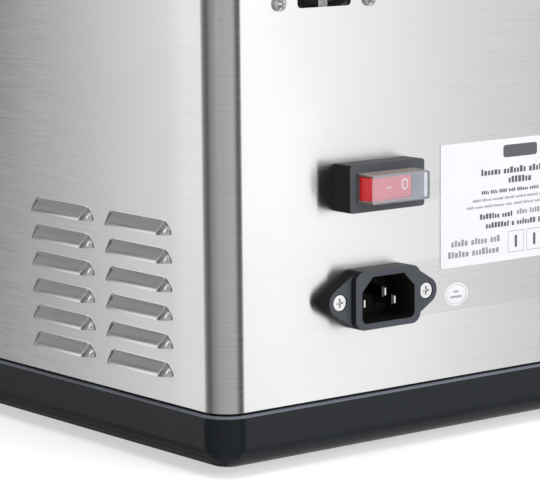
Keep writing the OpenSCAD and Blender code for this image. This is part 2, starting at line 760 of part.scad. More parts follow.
module switch_terminals() in_case() color("#d9dadb")
    for (i = [-1, 1], j = [-1, 1]) translate([switch_x + i * 8, face_y - 29, switch_z + j * 3])
        translate([-3.15, 0, -0.4]) cube([6.3, 7, 0.8]);

// ---------------------------------------------------------------- labels

label_w = 78;
label_h = 45;
label_t = 0.2;

module rating_label() in_case() color("#f4f5f6")
    translate([shell_w / 2 - 99.6 - label_w / 2, face_y, steel_z + 40.2 + label_h / 2])
        plate_y(label_t) square([label_w, label_h], center = true);

module round_sticker() in_case() color("#f4f5f6")
    translate([shell_w / 2 - 107.1, face_y, steel_z + 30.3]) plate_y(label_t)
        scale([11.8, 8.5]) circle(0.5);

// ---------------------------------------------------------------- lid

lid_w = tank_w + 20;
lid_d = tank_d + 20;
lid_r = tank_r + 10;
lid_t = 1;
lid_top = tank_top + lid_h;
post_x = 48;

module lid_pan() in_case() color("#d3d6d9") translate([0, tank_y, 0]) difference() {
    union() {
        difference() {
            translate([0, 0, tank_top]) soft_cap(lid_w, lid_d, lid_h, lid_r, 4);
            translate([0, 0, tank_top - cut]) soft_cap(lid_w - 2 * lid_t, lid_d - 2 * lid_t,
                lid_h - lid_t + cut, lid_r - lid_t, 4 - lid_t);
        }
        translate([0, 0, tank_top - 6]) ring(tank_w - 6, tank_d - 6, lid_h + 6 - lid_t / 2,
            tank_r - 3, lid_t);
    }
    for (s = [-1, 1]) translate([s * post_x, 0, tank_top]) cylinder(h = 2 * lid_h, r = 2.65);
}

module lid_handle() in_case() color("#20262a") translate([0, tank_y, lid_top]) difference() {
    union() {
        for (s = [-1, 1]) translate([s * post_x, 0, 0]) cylinder(h = handle_h - 6, r = 8);
        translate([0, 0, handle_h - 12]) soft_slab(2 * post_x + 24, 22, 6, 10.5, 4);
        translate([0, 0, handle_h - 7]) soft_cap(2 * post_x + 24, 22, 7, 10.5, 5);
    }
    for (s = [-1, 1]) translate([s * post_x, 0, -cut]) cylinder(h = 15, r = 2.65);
}

module lid_screws() in_case() color("#b8babd") for (s = [-1, 1])
    translate([s * post_x, tank_y, lid_top - lid_t]) mirror([0, 0, 1])
        pan_screw(4.6, 2.6, 2.5, 13);

// ---------------------------------------------------------------- rack

rack_w = 250;
rack_d = 180;
rack_z = tank_floor + 12;              // centre line of the rack's base wires
divider_h = 118;

module rack_base() in_case() color("#c9ccd0") translate([0, tank_y, 0]) {
    x = rack_w / 2;
    y = rack_d / 2;
    for (s = [-1, 1]) {
        wire([[-x, s * y, rack_z], [x, s * y, rack_z]], wire_r);
        wire([[s * x, -y, rack_z], [s * x, y, rack_z]], wire_r);
        wire([[-x, s * y / 3, rack_z], [x, s * y / 3, rack_z]], wire_r);
    }
    four(x, y) {
        translate([0, 0, rack_z]) sphere(wire_r);
        translate([0, 0, tank_floor]) cylinder(h = rack_z - tank_floor, r = wire_r);
    }
}

// One upright loop with bars, standing on the base wires
module rack_divider(index) in_case() color("#c9ccd0")
    translate([(index - (dividers + 1) / 2) * (rack_w - 10) / (dividers - 1), tank_y,
        rack_z + wire_r]) {
        y = rack_d / 2 - 6;
        top = divider_h;
        wire([[0, -y, 0], [0, -y, top - 8], [0, 8 - y, top], [0, y - 8, top], [0, y, top - 8],
            [0, y, 0]], wire_r);
        for (i = [-2 : 2]) wire([[0, i * 28, 0], [0, i * 28, top]], wire_r);
        wire([[0, -y, wire_r], [0, y, wire_r]], wire_r);
    }

module rack_divider_1() rack_divider(1);
module rack_divider_2() rack_divider(2);
module rack_divider_3() rack_divider(3);
module rack_divider_4() rack_divider(4);
module rack_divider_5() rack_divider(5);

base_tray();
rubber_feet();
foot_screws();
foot_nuts();
chassis_plate();
corner_brackets();
body_shell();
top_frame();
water_tank();
tank_seal();
tank_insulation();
tank_studs();
heater_plate();
heater_film();
heater_clamp();
heater_nuts();
tank_sensor();
sensor_clip();
thermal_cutout();
power_board();
board_spacers();
board_parts();
terminal_block();
mains_wiring();
control_panel();
display_lens();
display_module();
control_board();
board_screws();
button_contacts();
button_power();
button_mode();
button_timer();
button_minus();
button_plus();
fan_frame();
fan_stator();
fan_rotor();
fan_guard();
fan_screws();
fan_nuts();
inlet_housing();
inlet_pins();
inlet_screws();
inlet_nuts();
switch_housing();
switch_rocker();
switch_cover();
switch_terminals();
rating_label();
round_sticker();
lid_pan();
lid_handle();
lid_screws();
rack_base();
rack_divider_1();
rack_divider_2();
rack_divider_3();
rack_divider_4();
rack_divider_5();
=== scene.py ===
"""Looks of the sous vide water bath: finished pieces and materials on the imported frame."""
import json
import math
import random

import bmesh
import bpy
from mathutils import Matrix, Vector

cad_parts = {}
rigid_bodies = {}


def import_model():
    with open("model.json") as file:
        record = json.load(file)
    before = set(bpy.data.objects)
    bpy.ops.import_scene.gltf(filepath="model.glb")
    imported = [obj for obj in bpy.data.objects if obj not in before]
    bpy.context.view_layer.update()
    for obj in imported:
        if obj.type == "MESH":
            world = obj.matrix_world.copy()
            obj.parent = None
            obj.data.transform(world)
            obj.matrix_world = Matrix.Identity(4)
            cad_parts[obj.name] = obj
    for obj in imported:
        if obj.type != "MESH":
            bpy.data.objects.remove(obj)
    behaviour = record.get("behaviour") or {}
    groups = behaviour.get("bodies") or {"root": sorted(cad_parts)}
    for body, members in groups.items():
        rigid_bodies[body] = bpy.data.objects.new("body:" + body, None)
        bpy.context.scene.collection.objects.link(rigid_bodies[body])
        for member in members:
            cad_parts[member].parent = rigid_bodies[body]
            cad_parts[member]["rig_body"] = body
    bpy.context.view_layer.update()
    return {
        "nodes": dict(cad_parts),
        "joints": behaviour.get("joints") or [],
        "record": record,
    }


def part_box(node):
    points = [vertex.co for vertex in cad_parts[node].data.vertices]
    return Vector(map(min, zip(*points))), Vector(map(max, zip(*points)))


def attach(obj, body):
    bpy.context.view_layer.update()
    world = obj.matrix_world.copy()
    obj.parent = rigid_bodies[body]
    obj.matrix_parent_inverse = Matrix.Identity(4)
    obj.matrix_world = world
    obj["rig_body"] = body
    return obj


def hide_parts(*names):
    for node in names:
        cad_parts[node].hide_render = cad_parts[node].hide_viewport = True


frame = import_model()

NODES = frame["nodes"]
SLOT = {part["node"]: part["material_slot"] for part in frame["record"]["subparts"]}
MM = 0.001

# ------------------------------------------------------------------ places, from the frame

tray_lo, tray_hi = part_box("base_tray")
_, shell_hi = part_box("body_shell")
STEEL_Z = tray_hi.z                      # lower edge of the steel
BASE_LIP = 1 * MM                        # the tray stands out this far past the steel
RIGHT_X = tray_hi.x - BASE_LIP           # outside face of the right wall
LEFT_X = -RIGHT_X
REAR_Y = tray_hi.y - BASE_LIP            # outside face of the rear wall
FRONT_Y = tray_lo.y + BASE_LIP
BEND_R = 10 * MM                         # plan radius of the steel's bends
SHEET = 0.8 * MM                         # thickness of the casing's steel


def centre(node):
    lo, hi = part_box(node)
    return (lo + hi) / 2


def new_object(name, data):
    obj = bpy.data.objects.new(name, data)
    bpy.context.scene.collection.objects.link(obj)
    return obj


# ------------------------------------------------------------------ camera

CORNER = Vector((RIGHT_X, REAR_Y, STEEL_Z))  # lower rear right corner of the steel
CAMERA_FROM_CORNER = Vector((0.5559, 0.7323, 0.2001))
YAW, PITCH, ROLL = math.radians(141.745), math.radians(8.625), math.radians(-0.521)
LENS_MM, SENSOR_MM = 183.58, 36
NEAREST, FARTHEST = 0.01, 30                 # metres from the camera between which things show


def make_camera():
    """Long lens level with the casing, looking down a little at the rear right corner."""
    level_in = math.cos(PITCH)
    back = Vector((math.sin(YAW) * level_in, -math.cos(YAW) * level_in, math.sin(PITCH)))
    level = Vector((math.cos(YAW), math.sin(YAW), 0))
    over = back.cross(level)
    right = math.cos(ROLL) * level + math.sin(ROLL) * over
    up = math.cos(ROLL) * over - math.sin(ROLL) * level
    data = bpy.data.cameras.new("camera")
    data.lens = LENS_MM
    data.sensor_width = SENSOR_MM
    data.clip_start, data.clip_end = NEAREST, FARTHEST
    cam = new_object("camera", data)
    turn = Matrix((right, up, back)).transposed().to_4x4()
    cam.matrix_world = Matrix.Translation(CORNER + CAMERA_FROM_CORNER) @ turn
    bpy.context.scene.camera = cam


# ------------------------------------------------------------------ shader helpers

NOISE_LOW, NOISE_HIGH = 0.3, 0.7             # nearly all of a noise texture's values lie between


class Tree:
    """A node tree and the few node shapes that the world and the finishes share."""

    def __init__(self, tree):
        self.tree = tree

    def node(self, kind, **values):
        """A new node. values are its own settings, or its inputs with _ for each space."""
        n = self.tree.nodes.new(kind)
        for key, value in values.items():
            if hasattr(n, key):
                setattr(n, key, value)
            else:
                n.inputs[key.replace("_", " ")].default_value = value
        return n

    def link(self, out, into):
        self.tree.links.new(out, into)

    def maths(self, operation, *values):
        """A calculation on numbers and outputs."""
        n = self.node("ShaderNodeMath", operation=operation)
        for value, socket in zip(values, n.inputs):
            if isinstance(value, (int, float)):
                socket.default_value = value
            else:
                self.link(value, socket)
        return n.outputs["Value"]

    def map_range(self, source, **limits):
        n = self.node("ShaderNodeMapRange", **limits)
        self.link(source, n.inputs["Value"])
        return n.outputs["Result"]


class Shader(Tree):
    """A Principled material. The keys of values are its inputs, with _ for each space."""

    def __init__(self, name, **values):
        self.material = bpy.data.materials.new(name)
        self.material.use_nodes = True
        super().__init__(self.material.node_tree)
        self.main = self.tree.nodes["Principled BSDF"]
        for key, value in values.items():
            socket = self.main.inputs[key.replace("_", " ")]
            socket.default_value = (*value, 1) if isinstance(value, tuple) else value

    def place(self, scale=(1, 1, 1)):
        """Object coordinates, stretched by scale."""
        coords = self.node("ShaderNodeTexCoord")
        mapping = self.node("ShaderNodeMapping", Scale=scale)
        self.link(coords.outputs["Object"], mapping.inputs["Vector"])
        return mapping.outputs["Vector"]

    def noise(self, where, scale, detail=3.0, rough=0.55):
        n = self.node("ShaderNodeTexNoise", Scale=scale, Detail=detail, Roughness=rough)
        self.link(where, n.inputs["Vector"])
        return n.outputs["Fac"]

    def ramp(self, noise, low, high):
        """A noise as a number from low to high."""
        return self.map_range(
            noise, From_Min=NOISE_LOW, From_Max=NOISE_HIGH, To_Min=low, To_Max=high)

    def colour(self, noise, low, high):
        """Paints the surface, from one colour where the noise is low to one where it is high."""
        n = self.node("ShaderNodeMix", data_type="RGBA")
        factor, first, second = n.inputs["Factor"], n.inputs[6], n.inputs[7]
        self.link(self.ramp(noise, 0, 1), factor)
        first.default_value, second.default_value = (*low, 1), (*high, 1)
        self.drive("Base Color", n.outputs[2])

    def bump(self, height, strength, distance):
        n = self.node("ShaderNodeBump", Strength=strength, Distance=distance)
        self.link(height, n.inputs["Height"])
        self.drive("Normal", n.outputs["Normal"])

    def drive(self, key, output):
        self.link(output, self.main.inputs[key])


# ------------------------------------------------------------------ finishes

# Inside a finish, a colour's share says how much darker or lighter it gets. Noise scales are per
# metre, and a bump has a strength and then a depth.

def shade(colour, share):
    """The colour, darker or lighter by share, up to white."""
    return tuple(min(1, c * share) for c in colour)


FINE_SHARE, BROAD_SHARE = 0.8, 0.2           # of the two widths of scratch in brushed metal
BROAD_SCALE = 0.3


def brushed(name, colour, grain, along, rough=(0.2, 0.27), aniso=0.86):
    """Brushed metal. grain stretches the scratches; light spreads in the direction along."""
    s = Shader(name, Metallic=1.0, Anisotropic=aniso)
    fine = s.noise(s.place(grain), 1, detail=2, rough=0.5)
    broad = s.noise(s.place(tuple(g * BROAD_SCALE for g in grain)), 1, detail=2)
    cloud = s.noise(s.place(), 9, detail=2)
    both = s.maths("ADD", s.maths("MULTIPLY", fine, FINE_SHARE),
                   s.maths("MULTIPLY", broad, BROAD_SHARE))
    s.colour(both, shade(colour, 0.92), shade(colour, 1.06))
    s.drive("Roughness", s.maths("ADD", s.ramp(both, *rough), s.ramp(cloud, -0.02, 0.02)))
    spread = s.node("ShaderNodeCombineXYZ", X=along[0], Y=along[1], Z=along[2])
    s.drive("Tangent", spread.outputs["Vector"])
    s.bump(broad, 0.06, 0.01 * MM)
    return s.material


HANDLED = 0.03                               # how far handling marks and grain shift roughness


def plastic(name, colour, rough, grain_scale=1400, grain=0.35, specular=0.5):
    """Moulded plastic with a fine spark-eroded grain and faint handling marks."""
    s = Shader(name, Specular_IOR_Level=specular)
    fine = s.noise(s.place(), grain_scale, detail=2)
    marks = s.noise(s.place(), 38, detail=5, rough=0.65)
    s.colour(marks, shade(colour, 0.86), shade(colour, 1.12))
    handled = s.ramp(marks, rough - HANDLED, rough + HANDLED)
    s.drive("Roughness", s.maths("ADD", handled, s.ramp(fine, -HANDLED, HANDLED)))
    s.bump(fine, grain, 0.04 * MM)
    return s.material


def plated(name, colour, rough):
    """Plated or polished metal with light tool marks."""
    s = Shader(name, Metallic=1.0)
    marks = s.noise(s.place(), 420, detail=4, rough=0.7)
    s.colour(marks, shade(colour, 0.85), colour)
    s.drive("Roughness", s.ramp(marks, rough * 0.7, rough * 1.4))
    s.bump(marks, 0.15, 0.03 * MM)
    return s.material


def rubber(name, colour):
    """Matt rubber, foam, film or sleeving with a fine grain."""
    s = Shader(name, Specular_IOR_Level=0.35)
    fine = s.noise(s.place(), 900)
    s.colour(fine, shade(colour, 0.8), colour)
    s.drive("Roughness", s.ramp(fine, 0.62, 0.8))
    s.bump(fine, 0.4, 0.06 * MM)
    return s.material


def see_through(name, colour, rough, weight=1.0, ior=1.46):
    """Clear or tinted plastic with a faint moulded haze."""
    s = Shader(name, Transmission_Weight=weight, IOR=ior)
    haze = s.noise(s.place(), 160)
    s.colour(haze, colour, shade(colour, 1.04))
    s.drive("Roughness", s.ramp(haze, rough * 0.7, rough * 1.3))
    return s.material


def painted_glow_plastic(name, colour, glow):
    """Clear coloured plastic with a painted glow: emission that stands in for light scattered inside
    it.
    """
    s = Shader(name, Emission_Strength=glow, Specular_IOR_Level=0.4, Emission_Color=colour)
    soft = s.noise(s.place(), 260, detail=2)
    s.colour(soft, shade(colour, 0.9), colour)
    s.drive("Roughness", s.ramp(soft, 0.2, 0.28))
    return s.material


def paper(name, colour):
    """Slightly glossy printed paper with a faint fibre."""
    s = Shader(name, Roughness=0.42, Coat_Weight=0.3, Coat_Roughness=0.2)
    fibre = s.noise(s.place(), 650, detail=4)
    s.colour(fibre, shade(colour, 0.965), colour)
    s.bump(fibre, 0.12, 0.03 * MM)
    return s.material


STEEL = (0.67, 0.67, 0.672)
TANK_STEEL = (0.68, 0.69, 0.7)
ALONG_X, ALONG_Y, ALONG_Z = (1, 0, 0), (0, 1, 0), (0, 0, 1)
FINISH = {
    "brushed_steel": brushed("brushed_steel", STEEL, (45, 45, 2400), ALONG_Z),
    "lid_steel": brushed("lid_steel", STEEL, (9, 2600, 300), ALONG_Y, rough=(0.2, 0.32)),
    "tank_steel": brushed("tank_steel", TANK_STEEL, (300, 300, 40), ALONG_Z, (0.16, 0.28), 0.3),
    "heater_aluminium": brushed("heater_aluminium", (0.7, 0.71, 0.72), (900, 12, 12), ALONG_X),
    "rack_wire": plated("rack_wire", TANK_STEEL, 0.16),
    "galvanised": plated("galvanised", (0.5, 0.52, 0.54), 0.42),
    "guard_steel": plated("guard_steel", (0.55, 0.56, 0.57), 0.5),
    "zinc_steel": plated("zinc_steel", (0.62, 0.63, 0.64), 0.3),
    "bright_screw": plated("bright_screw", (0.86, 0.86, 0.87), 0.22),
    "nickel": plated("nickel", (0.8, 0.79, 0.76), 0.16),
    # painted reflection: a dark copy of the nickel for the pins' sides and bevels, standing for the
    # dark hollow they reflect
    "pin_painted_shade": plated("pin_painted_shade", (0.16, 0.16, 0.155), 0.3),
    "sensor_steel": plated("sensor_steel", (0.6, 0.61, 0.62), 0.25),
    "copper": plated("copper", (0.72, 0.34, 0.18), 0.3),
    "black_abs": plastic("black_abs", (0.0085, 0.0105, 0.013), 0.24, 1500, 0.26, 0.2),
    # painted highlight: a lighter copy of the black plastic for the tray's rounded edges
    "abs_painted_highlight": plastic("abs_painted_highlight", (0.12, 0.13, 0.16), 0.3, 1500, 0.2),
    "panel_plastic": plastic("panel_plastic", (0.012, 0.013, 0.014), 0.4),
    "fan_plastic": plastic("fan_plastic", (0.05, 0.05, 0.052), 0.4),
    "inlet_plastic": plastic("inlet_plastic", (0.05, 0.055, 0.066), 0.42, 2600, 0.25, 0.25),
    # painted shade: the inlet's hollow, smoother and much darker than its outside
    "inlet_painted_shade": plastic("inlet_painted_shade", (0.011, 0.01, 0.0095), 0.26, 1200, 0.1, 0.4),
    "switch_plastic": plastic("switch_plastic", (0.062, 0.067, 0.077), 0.42, 2600, 0.2, 0.2),
    # painted shade: a darker copy of the fittings' plastic for their side faces
    "fitting_painted_shade": plastic("fitting_painted_shade", (0.013, 0.0135, 0.0145), 0.4, 2600, 0.2, 0.2),
    "button_grey": plastic("button_grey", (0.1, 0.106, 0.112), 0.5),
    "bakelite": plastic("bakelite", (0.03, 0.027, 0.024), 0.45),
    "nylon": plastic("nylon", (0.7, 0.69, 0.64), 0.45, 700, 0.1),
    "display_black": plastic("display_black", (0.01, 0.01, 0.012), 0.3),
    "board_parts": plastic("board_parts", (0.05, 0.06, 0.08), 0.4),
    "circuit_board": plastic("circuit_board", (0.015, 0.14, 0.06), 0.3, 500, 0.1),
    "rubber": rubber("rubber", (0.02, 0.02, 0.02)),
    "silicone": rubber("silicone", (0.72, 0.7, 0.64)),
    "foam": rubber("foam", (0.28, 0.3, 0.31)),
    "heater_film": rubber("heater_film", (0.5, 0.2, 0.07)),
    "wire_sleeve": rubber("wire_sleeve", (0.25, 0.12, 0.06)),
    # painted glow: the rocker's emission stands in for light scattered in the red plastic
    "rocker_red": painted_glow_plastic("rocker_red", (0.6, 0.006, 0.012), 0.28),
    "clear_cover": see_through("clear_cover", (0.97, 0.97, 0.98), 0.02, ior=1.3),
    "cover_face": see_through("cover_face", (0.74, 0.79, 0.89), 0.05, 0.78, 1.3),
    # painted shade: a duller, brownish copy of the clear plastic for the cover's top and underside
    "cover_painted_shade": see_through("cover_painted_shade", (0.55, 0.5, 0.45), 0.12, 0.5, 1.3),
    "lens_red": see_through("lens_red", (0.35, 0.03, 0.04), 0.05),
    "label_white": paper("label_white", (0.66, 0.67, 0.69)),
}
INK = paper("ink", (0.075, 0.075, 0.085))
PALE_INK = paper("pale_ink", (0.24, 0.24, 0.26))
GREY_INK = paper("grey_ink", (0.3, 0.3, 0.33))
MARK_WHITE = paper("mark_white", (0.85, 0.85, 0.85))

for node, slot in SLOT.items():
    NODES[node].data.materials.clear()
    NODES[node].data.materials.append(FINISH[slot])


# ------------------------------------------------------------------ outlines and faces

def steps(start, end, count):
    return [start + (end - start) * i / count for i in range(count + 1)]


def round_pairs(count):
    """Each index and the one after it, once round a ring."""
    return [(i, (i + 1) % count) for i in range(count)]


ROUNDEST = 0.999                             # largest corner radius, as a share of half a side


def rounded(cx, cz, w, h, r, per_corner=6):
    """Points of a rounded rectangle about (cx, cz)."""
    r = min(r, w / 2 * ROUNDEST, h / 2 * ROUNDEST)
    ring = []
    for sx, sz, start in ((1, 1, 0), (-1, 1, 90), (-1, -1, 180), (1, -1, 270)):
        mid_x, mid_z = cx + sx * (w / 2 - r), cz + sz * (h / 2 - r)
        for a in steps(math.radians(start), math.radians(start + 90), per_corner):
            ring.append((mid_x + r * math.cos(a), mid_z + r * math.sin(a)))
    return ring


def upright(bm, ring, y):
    """Vertices of an outline of (x, z) points in the plane y."""
    return [bm.verts.new((x, y, z)) for x, z in ring]


def level_line(bm, ring, z):
    """Vertices of an outline of (x, y) points at the height z."""
    return [bm.verts.new((x, y, z)) for x, y in ring]


def band(bm, a, b):
    """Faces between two closed lines of as many vertices."""
    return [bm.faces.new((a[i], a[j], b[j], b[i])) for i, j in round_pairs(len(a))]


def block(bm, ring, first_y, last_y):
    """A solid with an outline of (x, z) points, from first_y to last_y."""
    first, last = upright(bm, ring, first_y), upright(bm, ring, last_y)
    bm.faces.new(first)
    bm.faces.new(list(reversed(last)))
    for i, j in round_pairs(len(ring)):
        bm.faces.new((first[j], first[i], last[i], last[j]))


def face_rear(face, slot):
    """Turns a flat face towards +Y and gives it a material."""
    face.normal_update()
    if face.normal.y < 0:
        face.normal_flip()
    face.material_index = slot


def flat_shape(bm, ring, y, slot=0):
    """A filled outline of (x, z) points in the plane y, facing +Y."""
    face_rear(bm.faces.new(upright(bm, ring, y)), slot)


def flat_ring(bm, outer, inner, y, slot=0):
    """The band between two outlines of as many points, facing +Y."""
    for face in band(bm, upright(bm, outer, y), upright(bm, inner, y)):
        face_rear(face, slot)


# ------------------------------------------------------------------ making pieces

EDGE = math.radians(40)                      # an edge sharper than this can be softened
SHARP = 35                                   # degrees; an edge sharper than this is shaded sharp
SAME_PLACE = 0.002 * MM                      # vertices closer than this are one
SAME_PLANE = math.radians(0.6)               # faces that differ by less than this are one


def finish_piece(name, mesh, body, slot, replaced=(), materials=None, sharp=SHARP,
                 flats=False):
    """Links a mesh as a piece on a body, smooth except at edges sharper than sharp degrees.

    Without materials it gets its slot's finish. sharp of None leaves it flat shaded, and flats
    keeps the shading of large flat faces flat up to the rounds at their edges.
    """
    obj = new_object(name, mesh)
    if materials is None:
        materials = [FINISH[slot]]
    for m in materials:
        mesh.materials.append(m)
    if sharp is not None:
        mesh.shade_smooth()
        mesh.set_sharp_from_angle(angle=math.radians(sharp))
    if flats:
        even = obj.modifiers.new("even", "WEIGHTED_NORMAL")
        even.keep_sharp = True
        even.weight = 100
    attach(obj, body)
    if replaced:
        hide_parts(*replaced)
    return obj


def mesh_of(bm, name):
    mesh = bpy.data.meshes.new(name)
    bm.to_mesh(mesh)
    bm.free()
    return mesh


def solid_of(bm, name):
    """The mesh of a closed shape, with its faces turned outward."""
    bmesh.ops.recalc_face_normals(bm, faces=bm.faces)
    return mesh_of(bm, name)


def print_piece(name, bm, body, slot, inks):
    """Links flat shapes as print on a body."""
    finish_piece(name, mesh_of(bm, name), body, slot, materials=inks, sharp=None)


def baked(mesh, kind, **settings):
    """The mesh with a modifier applied."""
    holder = new_object("holder", mesh)
    modifier = holder.modifiers.new(kind.lower(), kind)
    for key, value in settings.items():
        setattr(modifier, key, value)
    shown = holder.evaluated_get(bpy.context.evaluated_depsgraph_get())
    out = bpy.data.meshes.new_from_object(shown)
    bpy.data.objects.remove(holder)
    return out


def cut_away(mesh, cutter):
    """The mesh without what is inside the cutter's mesh."""
    knife = new_object("knife", cutter)
    mesh = baked(mesh, "BOOLEAN", operation="DIFFERENCE", object=knife, solver="EXACT")
    bpy.data.objects.remove(knife)
    return mesh


def cleaned(node):
    """A copy of a CAD node's mesh with its flat faces joined."""
    bm = bmesh.new()
    bm.from_mesh(NODES[node].data)
    bmesh.ops.remove_doubles(bm, verts=bm.verts, dist=SAME_PLACE)
    bmesh.ops.dissolve_limit(bm, angle_limit=SAME_PLANE, verts=bm.verts, edges=bm.edges)
    mesh = mesh_of(bm, node + "_finished")
    mesh.materials.clear()
    return mesh


def weighted(mesh, wide, share_of, materials=(), **settings):
    """The mesh with its sharp edges rounded by wide times share_of(edge)."""
    bm = bmesh.new()
    bm.from_mesh(mesh)
    share = bm.edges.layers.float.new("bevel_weight_edge")
    for edge in bm.edges:
        if len(edge.link_faces) == 2 and edge.calc_face_angle(0) > EDGE:
            edge[share] = share_of(edge)
    edged = mesh_of(bm, mesh.name)
    for m in materials:
        edged.materials.append(m)
    return baked(edged, "BEVEL", width=wide, limit_method="WEIGHT", use_clamp_overlap=False,
                 **settings)


def softened(node, width):
    """A CAD node's shape with its edges broken by a small round, as a moulding or pressing has."""
    mesh = baked(cleaned(node), "BEVEL", width=width, segments=2, limit_method="ANGLE",
                 angle_limit=EDGE, use_clamp_overlap=True)
    return finish_piece(
        node + "_finished", mesh, NODES[node]["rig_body"], SLOT[node], [node], flats=True)


def added(piece, finish):
    """Gives a piece one more finish, and returns its material index."""
    piece.data.materials.append(FINISH[finish])
    return len(piece.data.materials) - 1


# ------------------------------------------------------------------ steel wrap

LOUVRE_COLUMNS = (47.65 * MM, 94.9 * MM)     # from the rear face to each column's middle
LOUVRE_ROWS = 6
LOUVRE_LOW = 9.4 * MM                        # from the steel's lower edge to the lowest lip
LOUVRE_PITCH = 10 * MM
LOUVRE_W = 38.3 * MM
HOOD_SPARE = 0.12 * MM                       # a lip stays this far inside the CAD shell's box
HOOD_OUT = shell_hi.x - RIGHT_X - HOOD_SPARE  # how far a lip stands out of the wall
HOOD_H = 5.1 * MM                            # from the lip up to where the hood meets the wall
HOOD_CORNER = 4.7 * MM                       # over which a hood rounds off at each end
HOOD_ROUND = 0.34                            # roundness of the lip, as a share of HOOD_H
HOOD_FILLET = 0.35 * MM
DOME_POWER = 0.75                            # 0.5 would make a hood's ends full rounds
SUPPORT = 0.08 * MM                          # flat margin that keeps the wall's shading true
LEAST_CUT = 0.02 * MM                        # a lip is cut open where it stands out more than this
LIP_BAND = 1 * MM                            # height above a lip that gets closer lines
LIP_STEPS, HOOD_STEPS = 8, 16                # steps up that band, and up the rest of a hood
END_STEPS, FLAT_STEPS = 20, 2                # steps along a hood's end, and along its middle
BEND_STEPS = 20                              # steps round a bend of the casing
DIGITS = 7                                   # lines that are the same to this many digits are one
SAME_HEIGHT = 10 ** -DIGITS
WRAP_SHARP = 62                              # degrees


def hood_height(u, v):
    """How far a pressed hood stands out, at u along it and v above its lip.

    It is a slanted blade between two domed ends.
    """
    along = max(abs(u) - LOUVRE_W / 2 + HOOD_CORNER, 0) / HOOD_CORNER
    reach = math.hypot(along, v / HOOD_H)
    if reach >= 1:
        return 0.0
    end_share = (along / reach) ** 2 if reach > 0 else 0
    edge = math.hypot(1, HOOD_ROUND)
    blade = (edge - math.hypot(reach, HOOD_ROUND)) / (edge - HOOD_ROUND)
    dome = (1 - reach ** 2) ** DOME_POWER
    slant = (HOOD_OUT + HOOD_FILLET) * (blade + (dome - blade) * end_share)
    return slant + HOOD_FILLET * (math.exp(-slant / HOOD_FILLET) - 1)


def hood_stations():
    """Distances along a louvre from its middle, closer together as its domed ends get steeper."""
    flat = LOUVRE_W / 2 - HOOD_CORNER
    ends = [LOUVRE_W / 2 - HOOD_CORNER * (1 - math.sin(a))
            for a in steps(0, math.pi / 2, END_STEPS)[1:]]
    each_side = [flat, *ends, LOUVRE_W / 2 + SUPPORT]
    return [s * d for s in (-1, 1) for d in each_side] + steps(-flat, flat, FLAT_STEPS)


def wall_stations():
    """Distances from the rear face along a side wall, fine where a louvre's ends are."""
    found = {round(col + d, DIGITS) for col in LOUVRE_COLUMNS for d in hood_stations()}
    return sorted(found)


def outline_points():
    """(place, outward normal, distance from the rear face if on a side wall), once round."""
    def bend(cx, cy, start):
        found = []
        for a in steps(start, start + math.pi / 2, BEND_STEPS):
            out_x, out_y = math.cos(a), math.sin(a)
            place = Vector((cx + BEND_R * out_x, cy + BEND_R * out_y, 0))
            found.append((place, Vector((out_x, out_y, 0)), None))
        return found

    def wall(x, side, stations):
        return [(Vector((x, REAR_Y - d, 0)), Vector((side, 0, 0)), d) for d in stations]

    right, left = RIGHT_X - BEND_R, LEFT_X + BEND_R
    front, rear = FRONT_Y + BEND_R, REAR_Y - BEND_R
    along = wall_stations()
    return (bend(right, front, -math.pi / 2) + wall(RIGHT_X, 1, reversed(along))
            + bend(right, rear, 0) + bend(left, rear, math.pi / 2)
            + wall(LEFT_X, -1, along) + bend(left, front, math.pi))


def height_stations():
    """(height above the steel's edge, whether lips are here), rising."""
    found = {0.0: False, round(shell_hi.z - STEEL_Z, DIGITS): False}
    for row in range(LOUVRE_ROWS):
        lip = LOUVRE_LOW + row * LOUVRE_PITCH
        lines = (-SUPPORT, *steps(0, LIP_BAND, LIP_STEPS), *steps(LIP_BAND, HOOD_H, HOOD_STEPS),
                 HOOD_H + SUPPORT)
        for v in lines:
            found[round(lip + v, DIGITS)] = False
        found[round(lip, DIGITS)] = True
    return sorted(found.items())


def raised(d, h):
    """Hood height on a side wall at distance d and height h."""
    if d is None:
        return 0.0
    for col in LOUVRE_COLUMNS:
        for row in range(LOUVRE_ROWS):
            v = h - LOUVRE_LOW - row * LOUVRE_PITCH
            if abs(d - col) < LOUVRE_W / 2 and -SAME_HEIGHT < v < HOOD_H:
                return hood_height(d - col, max(v, 0))
    return 0.0


VENT_R = 25 * MM                             # the slots end on a circle of this radius
VENT_END = 22 * MM                           # from the fan's centre to the outer slots' far edges
VENT_COUNT, VENT_SLOT, VENT_ROUND = 5, 6.3 * MM, 1.5 * MM
FAN_SCREW = 20 * MM                          # from the fan's centre to its screws, both ways
FAN_SCREW_HOLE = 3.3 * MM
# Width, height and corner radius of the openings for the fittings
INLET_HOLE = (27.7 * MM, 20.1 * MM, 3 * MM)
SWITCH_HOLE = (28.3 * MM, 12.7 * MM, 1 * MM)
PANEL_HOLE = (140.3 * MM, 54.3 * MM, 4 * MM)
CUTTER_REACH = 6 * MM                        # a cutter goes this far to each side of a wall's face


def vent_slots():
    """(height from the fan's centre, width) of each slot."""
    for i in range(VENT_COUNT):
        z = i * (2 * VENT_END - VENT_SLOT) / (VENT_COUNT - 1) - VENT_END + VENT_SLOT / 2
        yield z, 2 * math.sqrt(VENT_R ** 2 - (abs(z) + VENT_SLOT / 2) ** 2)


